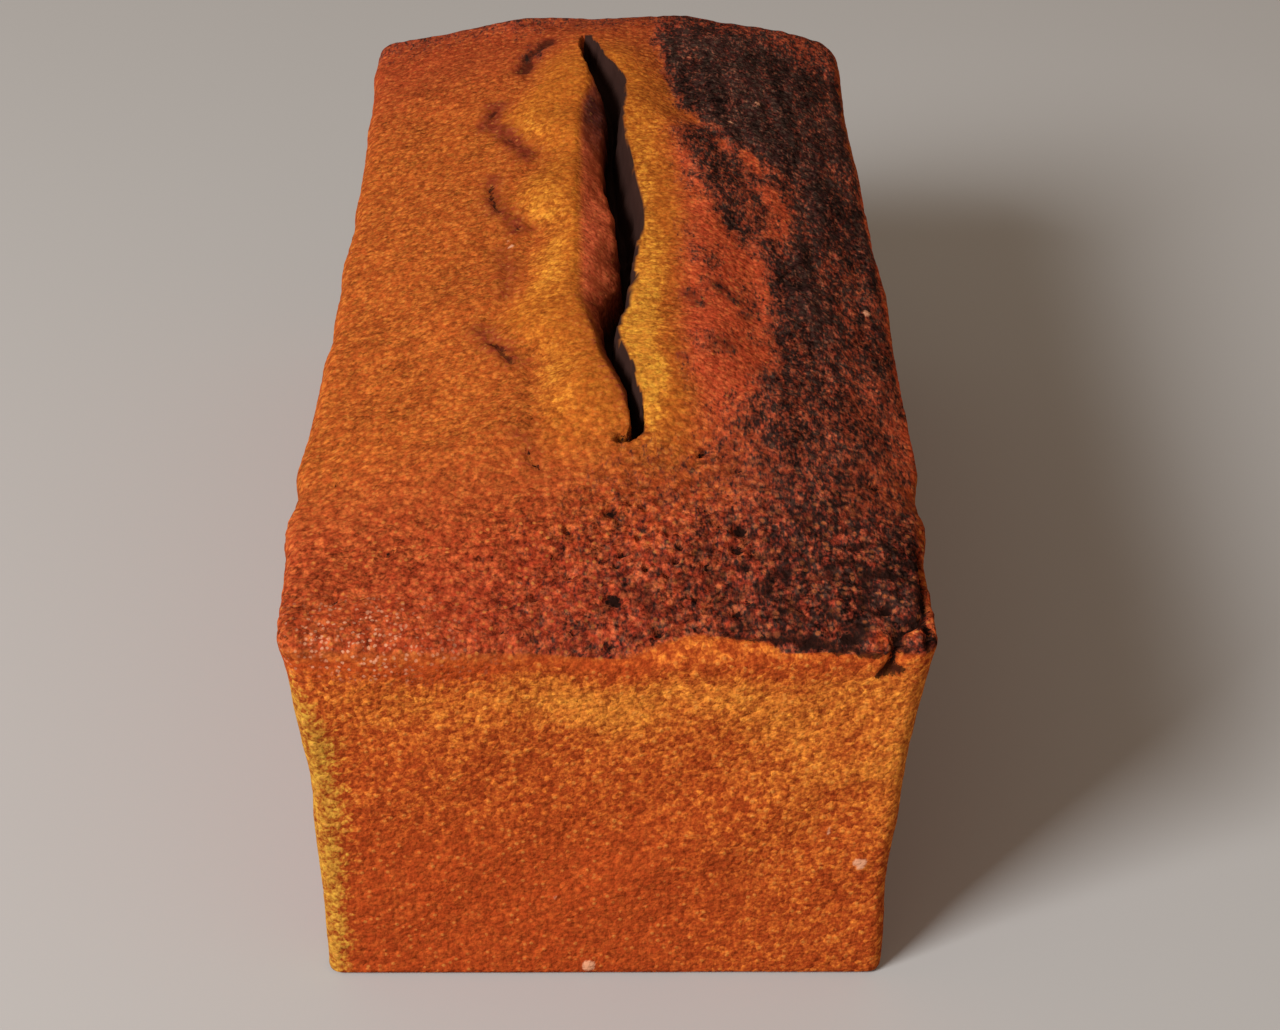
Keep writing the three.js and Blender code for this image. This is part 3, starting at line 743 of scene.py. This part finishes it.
# A mesh object at the origin from points in millimetres, quads, one base face and a mask for each attribute.
def makeLoaf(name):
    mesh = bpy.data.meshes.new(name)
    mesh.from_pydata(points * mm, [], quads.tolist() + [baseLoop.tolist()])
    rounded = np.ones(len(mesh.polygons), bool)
    rounded[-1] = False
    mesh.polygons.foreach_set("use_smooth", rounded)
    for maskName, mask in masks.items():
        layer = mesh.attributes.new(maskName, "FLOAT", "POINT")
        layer.data.foreach_set("value", np.clip(mask, 0, 1).astype(np.float32))
    mesh.validate()
    piece = bpy.data.objects.new(name, mesh)
    bpy.context.scene.collection.objects.link(piece)
    return piece


# Tints are linear colour and sizes are in millimetres. A mask's edge is (reach of the noise, low, high):
# the mask, nudged that far by noise, is 0 below the low mark and 1 above the high one.
look = dict(
    wall=(0.352, 0.0525, 0.0096), wallGold=(0.59, 0.190, 0.0250), bareLitEdge=(0.41, 0.192, 0.0245),
    crust=(0.358, 0.081, 0.0134), ember=(0.297, 0.0445, 0.0140), redGround=(0.47, 0.073, 0.0235),
    brown=(0.300, 0.059, 0.0255), emberBrown=(0.275, 0.047, 0.0210),
    deepBrown=(0.165, 0.055, 0.0350), scorch=(0.035, 0.0160, 0.0125),
    pale=(0.405, 0.106, 0.0124), paleGold=(0.58, 0.228, 0.0250),
    crackBrown=(0.60, 0.110, 0.042), wallBrown=(0.091, 0.023, 0.0190), slitShade=(0.030, 0.0135, 0.0105),
    stainAndShadow=(0.18, 0.030, 0.0105), paintedShade=(0.013, 0.0046, 0.0032),
    grain=(0.60, 0.27, 0.15), speck=(0.66, 0.27, 0.055), glint=(0.42, 0.105, 0.030),
    wallGoldEdge=(0.8, -0.05, 1.15), bareLitEdgeEdge=(1.1, 0.1, 1.0), crustEdge=(0.5, 0.2, 0.8),
    paleGoldEdge=(0.6, 0.05, 1.05), wallShadeEdge=(0.5, 0.0, 1.0), stainEdge=(1.0, 0.15, 0.95),
    brownEdge=(0.7, 0.05, 0.65), scorchEdge=(1.7, 0.2, 1.0), grainEdge=(0.4, 0.3, 0.7),
    deepBrownRamp=(0.75, 1.0, 0.0, 0.9), crackShare=0.9,
    mottle=9.0, crumb=1.3, grit=0.45, streakCrumb=1.1, streakGrit=0.4, streakLength=2.6,
    longStreak=3.0, longStreakLength=5.0,
    grainSize=0.85, fineGrain=1.0, paleGrain=0.65, poreSpacing=1.9, poreRadius=0.42,
    # Light and shade, as shares of the tint: from grain to grain, in streaks and in clouds.
    crumbTone=0.16, gritTone=0.34, grainTone=0.4, streakTone=0.45, mottleTone=0.1, darkest=0.15,
    wallTone=0.85, crustTone=1.5, wallMottle=0.4,
    # Fine grains: what the tint is multiplied by in the gaps and on the grains.
    gapGain=(0.78, 0.56, 0.58), grainGain=(1.45, 1.85, 1.70), dullGrain=0.35, wallGrains=0.45,
    speckShare=0.55, paleShare=0.85, paleRagged=0.7, glintShare=0.85,
    poreShare=0.8, poreRagged=0.25, poreCore=0.4,
    markRags=(0.6, 0.4), markRamp=(0.46, 0.64),
    roughness=0.9, gloss=0.03, bumpStrength=0.8, bumpHeight=0.4, bumpGrain=0.6, bumpGrit=0.5,
)


def makeCrust(name):
    material = bpy.data.materials.new(name)
    material.use_nodes = True
    nodes, links = material.node_tree.nodes, material.node_tree.links
    shader = nodes["Principled BSDF"]
    place = nodes.new("ShaderNodeTexCoord").outputs["Object"]

    # A name stands for its value in look.
    def put(socket, value):
        if isinstance(value, str):
            value = look[value]
        if isinstance(value, bpy.types.NodeSocket):
            links.new(value, socket)
        elif isinstance(value, tuple):
            socket.default_value = (*value, 1)
        else:
            socket.default_value = value

    # The same place with lengths along the loaf shrunk, so that a pattern read from it runs along the loaf.
    def drawnOut(lengthName):
        node = nodes.new("ShaderNodeMapping")
        put(node.inputs["Vector"], place)
        node.inputs["Scale"].default_value = (1, 1 / look[lengthName], 1)
        return node.outputs["Vector"]

    def speckle(sizeName, detail=2.0, rough=0.6, where=place):
        node = nodes.new("ShaderNodeTexNoise")
        put(node.inputs["Vector"], where)
        put(node.inputs["Scale"], 1 / (look[sizeName] * mm))
        put(node.inputs["Detail"], detail)
        put(node.inputs["Roughness"], rough)
        return node.outputs["Fac"]

    # Cells of that size: distance from the middle of each, in cell sizes, and a random number for each.
    def cells(sizeName):
        node = nodes.new("ShaderNodeTexVoronoi")
        put(node.inputs["Vector"], place)
        put(node.inputs["Scale"], 1 / (look[sizeName] * mm))
        split = nodes.new("ShaderNodeSeparateColor")
        put(split.inputs["Color"], node.outputs["Color"])
        return node.outputs["Distance"], split.outputs["Red"]

    # One kind of sum on any number of values, from the first to the last.
    def math(kind, first, *others):
        for other in others:
            node = nodes.new("ShaderNodeMath")
            node.operation = kind
            put(node.inputs[0], first)
            put(node.inputs[1], other)
            first = node.outputs[0]
        return first

    def times(*values):
        return math("MULTIPLY", *values)

    def plus(*values):
        return math("ADD", *values)

    # A number from 0 to 1 made to swing about 0, that far in all.
    def swing(value, reach):
        return times(math("SUBTRACT", value, 0.5), reach)

    def between(value, fromLow, fromHigh, toLow=0.0, toHigh=1.0):
        node = nodes.new("ShaderNodeMapRange")
        node.interpolation_type = "SMOOTHSTEP"
        for socket, number in zip(node.inputs[:5], (value, fromLow, fromHigh, toLow, toHigh)):
            put(socket, number)
        return node.outputs["Result"]

    def blend(first, second, share):
        node = nodes.new("ShaderNodeMix")
        node.data_type = "RGBA"
        put(node.inputs["Factor"], share)
        put(node.inputs["A"], first)
        put(node.inputs["B"], second)
        return node.outputs["Result"]

    # A tint scaled by one number, or multiplied by another tint.
    def gained(kind, colour, socketName, gain):
        node = nodes.new("ShaderNodeVectorMath")
        node.operation = kind
        put(node.inputs[0], colour)
        put(node.inputs[socketName], gain)
        return node.outputs["Vector"]

    def mask(maskName):
        node = nodes.new("ShaderNodeAttribute")
        node.attribute_name = maskName
        return node.outputs["Fac"]

    streakPlace = drawnOut("streakLength")
    longPlace = drawnOut("longStreakLength")
    mottle = speckle("mottle", 3.0)
    crumb = speckle("crumb")
    grit = speckle("grit", 1.0)
    streakCrumb = speckle("streakCrumb", where=streakPlace)
    streakGrit = speckle("streakGrit", 1.0, where=streakPlace)
    longStreak = speckle("longStreak", 1.0, 0.5, longPlace)
    fromMiddle, grainNumber = cells("grainSize")
    fromFine, fineNumber = cells("fineGrain")
    fromPale, paleNumber = cells("paleGrain")
    fromPore, poreNumber = cells("poreSpacing")
    crust, scorch, coarse = mask("crust"), mask("scorch"), mask("coarse")

    # Two kinds of noise that break up a mask's edge: round specks, and streaks along the loaf.
    specks = plus(swing(crumb, 0.7), swing(grainNumber, 0.5), swing(grit, 1.1))
    streaks = plus(swing(streakCrumb, 1.0), swing(streakGrit, 1.0))

    def broken(maskName, edgeName, nudge=specks):
        reach, low, high = look[edgeName]
        share = between(plus(mask(maskName), times(nudge, reach)), low, high)
        return times(share, between(mask(maskName), 0.01, 0.12))     # nothing where there is no mask

    wall = blend("wall", "wallGold", broken("gold", "wallGoldEdge"))
    wall = blend(wall, "bareLitEdge", broken("bareLitEdge", "bareLitEdgeEdge"))
    top = blend("crust", "ember", mask("ember"))
    top = blend(top, "redGround", mask("redGround"))
    top = blend(top, "pale", mask("pale"))
    top = blend(top, "paleGold", broken("gold", "paleGoldEdge"))
    top = blend(top, "crackBrown", times(mask("crackWall"), "crackShare"))
    top = blend(top, "wallBrown", broken("wallShade", "wallShadeEdge"))
    brown = blend("brown", "emberBrown", mask("ember"))
    top = blend(top, brown, broken("scorch", "brownEdge", streaks))
    top = blend(top, "deepBrown", between(scorch, *look["deepBrownRamp"]))
    # Stains on the lip and in smudges, and the painted shadow round the crevices.
    top = blend(top, "stainAndShadow", broken("stainAndShadow", "stainEdge"))
    top = blend(top, "scorch", broken("scorch", "scorchEdge", streaks))
    # Painted shade in the slit.
    top = blend(top, "slitShade", mask("slitShade"))
    tint = blend(wall, top, broken("crust", "crustEdge"))

    # A number from 0 to 1 eased onto a tone, as far darker at the low mark as lighter at the high one.
    def toned(value, low, high, toneName):
        return between(value, low, high, -look[toneName], look[toneName])

    # Light and shade from grain to grain, stronger where the crust is coarse, in streaks and in clouds.
    tone = plus(toned(crumb, 0.25, 0.75, "crumbTone"), toned(grit, 0.25, 0.75, "gritTone"))
    tone = plus(tone, swing(grainNumber, "grainTone"))
    tone = times(tone, coarse, between(crust, 0, 1, "wallTone", "crustTone"))
    tone = plus(tone, times(toned(longStreak, 0.3, 0.7, "streakTone"), scorch))
    clouds = times(toned(mottle, 0.3, 0.7, "mottleTone"), between(crust, 0, 1, "wallMottle", 1.0))
    tint = gained("SCALE", tint, "Scale", math("MAXIMUM", plus(tone, 1.0, clouds), "darkest"))

    # Fine grains: each is lighter and yellower than the gaps around it.
    grainLight = times(between(fromFine, 0.75, 0.25), between(fineNumber, 0, 1, "dullGrain", 1.0))
    gain = blend("gapGain", "grainGain", grainLight)
    grainShare = times(coarse, between(crust, 0, 1, "wallGrains", 1.0))
    tint = blend(tint, gained("MULTIPLY", tint, 1, gain), grainShare)

    # Light specks on the grains, partly pale grains and partly painted highlights; pale grains, loose crumbs
    # and flakes with painted highlights; orange glints on the black.
    speck = times(between(grainNumber, 0.6, 0.95), between(fromMiddle, 0.45, 0.15))
    speck = times(speck, between(scorch, 0.7, 0.1, 0.0, "speckShare"), coarse)
    tint = blend(tint, "speck", speck)
    fromPale = plus(fromPale, swing(grit, "paleRagged"))
    paleSpeck = times(between(paleNumber, 0.3, 0.75, 0.0, "paleShare"), between(fromPale, 0.45, 0.2))
    tint = blend(tint, "grain", times(paleSpeck, mask("grainZone")))
    tint = blend(tint, "grain", broken("grain", "grainEdge"))
    glint = times(between(fineNumber, 0.4, 0.8, 0.0, "glintShare"), between(fromFine, 0.45, 0.2))
    tint = blend(tint, "glint", times(glint, mask("pores"), scorch))

    # Painted shade: dark pores, valleys between the cobbles, and sharp marks.
    poreEdge = look["poreRadius"] / look["poreSpacing"]
    poreShade = between(plus(fromPore, swing(grit, "poreRagged")), poreEdge, look["poreCore"] * poreEdge)
    poreShade = times(poreShade, between(poreNumber, 0.35, 0.75, 0.0, "poreShare"), mask("pores"))
    tint = blend(tint, "paintedShade", poreShade)
    tint = blend(tint, "paintedShade", mask("valleyShade"))
    gritRags, crumbRags = look["markRags"]
    mark = plus(mask("markField"), swing(grit, gritRags), swing(crumb, crumbRags))
    tint = blend(tint, "paintedShade", times(between(mark, *look["markRamp"]), mask("markShade")))
    put(shader.inputs["Base Color"], tint)
    put(shader.inputs["Roughness"], "roughness")
    put(shader.inputs["Specular IOR Level"], "gloss")

    bump = nodes.new("ShaderNodeBump")
    put(bump.inputs["Strength"], "bumpStrength")
    put(bump.inputs["Distance"], look["bumpHeight"] * mm)
    uneven = plus(crumb, times(fromMiddle, -look["bumpGrain"]), times(grit, "bumpGrit"))
    put(bump.inputs["Height"], times(uneven, coarse))
    put(shader.inputs["Normal"], bump.outputs["Normal"])
    return material


loafCake = makeLoaf("loafCake")
loafCake.data.materials.append(makeCrust("bakedCrust"))
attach(loafCake, "root")
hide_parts("loaf")
print("loafCake:", len(loafCake.data.polygons), "faces,", len(masks), "masks")

# Studio: a pale floor, one large soft light from the front left and a weak even light all round, in metres.
studio = dict(
    floorHalf=12.0, floorTint=(0.42, 0.41, 0.395), floorRoughness=0.9,
    target=(0.0, 0.0, 0.03), toLight=(-0.61, -0.57, 0.55), lightDistance=1.3, lightSize=0.45,
    lightPower=23.0, lightTint=(0.97, 0.98, 1.0), worldTint=(1.0, 0.80, 0.63), worldStrength=0.35,
)


def makeFloor():
    reach = studio["floorHalf"]
    mesh = bpy.data.meshes.new("floor")
    corners = [(-reach, -reach, 0), (reach, -reach, 0), (reach, reach, 0), (-reach, reach, 0)]
    mesh.from_pydata(corners, [], [(0, 1, 2, 3)])
    material = bpy.data.materials.new("paleFloor")
    material.use_nodes = True
    shader = material.node_tree.nodes["Principled BSDF"]
    shader.inputs["Base Color"].default_value = (*studio["floorTint"], 1)
    shader.inputs["Roughness"].default_value = studio["floorRoughness"]
    mesh.materials.append(material)
    floor = bpy.data.objects.new("floor", mesh)
    bpy.context.scene.collection.objects.link(floor)
    return floor


def makeLight():
    light = bpy.data.lights.new("softKey", "AREA")
    light.size = studio["lightSize"]
    light.energy = studio["lightPower"]
    light.color = studio["lightTint"]
    lamp = bpy.data.objects.new("softKey", light)
    toLight = Vector(studio["toLight"]).normalized()
    lampPlace = Matrix.Translation(Vector(studio["target"]) + studio["lightDistance"] * toLight)
    lamp.matrix_world = lampPlace @ toLight.to_track_quat("Z", "Y").to_matrix().to_4x4()
    bpy.context.scene.collection.objects.link(lamp)
    world = bpy.data.worlds.new("studio")
    world.use_nodes = True
    background = world.node_tree.nodes["Background"]
    background.inputs["Color"].default_value = (*studio["worldTint"], 1)
    background.inputs["Strength"].default_value = studio["worldStrength"]
    bpy.context.scene.world = world


# Camera fitted to the photograph: place in millimetres, angles in degrees, focal length in photograph pixels.
view = dict(
    place=(-0.3, -347.8, 244.8), pitch=33.05, yaw=0.901, roll=-0.506,
    focalPixels=2606.0, imageWidth=1280.0, sensorWidth=36.0,
)


# Forward from pitch and yaw, right level with the ground, down across both, then the two turned by the roll.
def makeCamera():
    pitch, yaw, roll = np.radians([view["pitch"], view["yaw"], view["roll"]])
    forward = np.array([np.sin(yaw) * np.cos(pitch), np.cos(yaw) * np.cos(pitch), -np.sin(pitch)])
    level = np.array([np.cos(yaw), -np.sin(yaw), 0])
    down = np.cross(forward, level)
    turnedRight = np.cos(roll) * level + np.sin(roll) * down
    turnedDown = np.cos(roll) * down - np.sin(roll) * level
    placed = np.eye(4)
    placed[:3] = np.stack([turnedRight, -turnedDown, -forward, np.array(view["place"]) * mm], axis=1)
    lens = bpy.data.cameras.new("photoView")
    lens.sensor_width = view["sensorWidth"]
    lens.lens = view["sensorWidth"] * view["focalPixels"] / view["imageWidth"]
    camera = bpy.data.objects.new("photoView", lens)
    camera.matrix_world = Matrix(placed.tolist())
    bpy.context.scene.collection.objects.link(camera)
    bpy.context.scene.camera = camera


makeFloor()
makeLight()
makeCamera()
bpy.context.scene.view_settings.view_transform = "Standard"
print("studio, light and camera in place")
